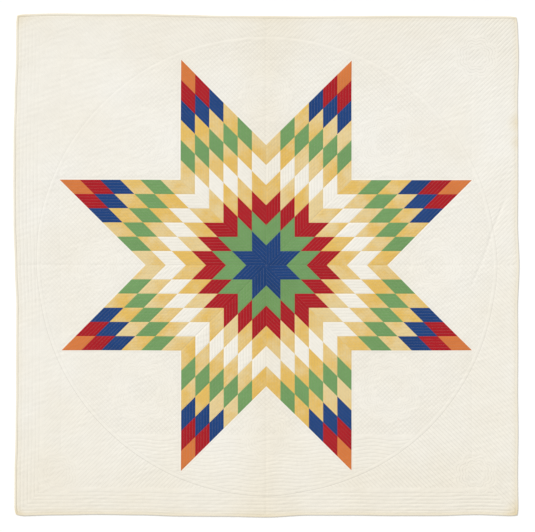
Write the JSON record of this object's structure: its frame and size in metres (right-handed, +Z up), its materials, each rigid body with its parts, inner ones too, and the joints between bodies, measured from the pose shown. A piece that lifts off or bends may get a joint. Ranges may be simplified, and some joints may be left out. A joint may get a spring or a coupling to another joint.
{
  "type": "patchwork bed quilt",
  "caption": "Square patchwork bed quilt laid flat, with a pieced medallion star in a quilted ring on a plain ground and a narrow folded binding.",
  "frame": {"origin": "middle of the quilt's outline, on the surface that it lies on", "axes": "+Z up out of the face of the quilt, +Y towards its top edge, +X towards its right edge seen from above"},
  "size_m": [2.032, 2.024, 0.004],
  "materials": {
    "quilted_cotton": "matt quilted plain-weave cotton",
    "binding_cotton": "matt plain-weave cotton strip"
  },
  "bodies": {
    "root": {"quilt_body": "quilted_cotton", "binding_top": "binding_cotton", "binding_bottom": "binding_cotton", "binding_left": "binding_cotton", "binding_right": "binding_cotton"}
  },
  "joints": []
}
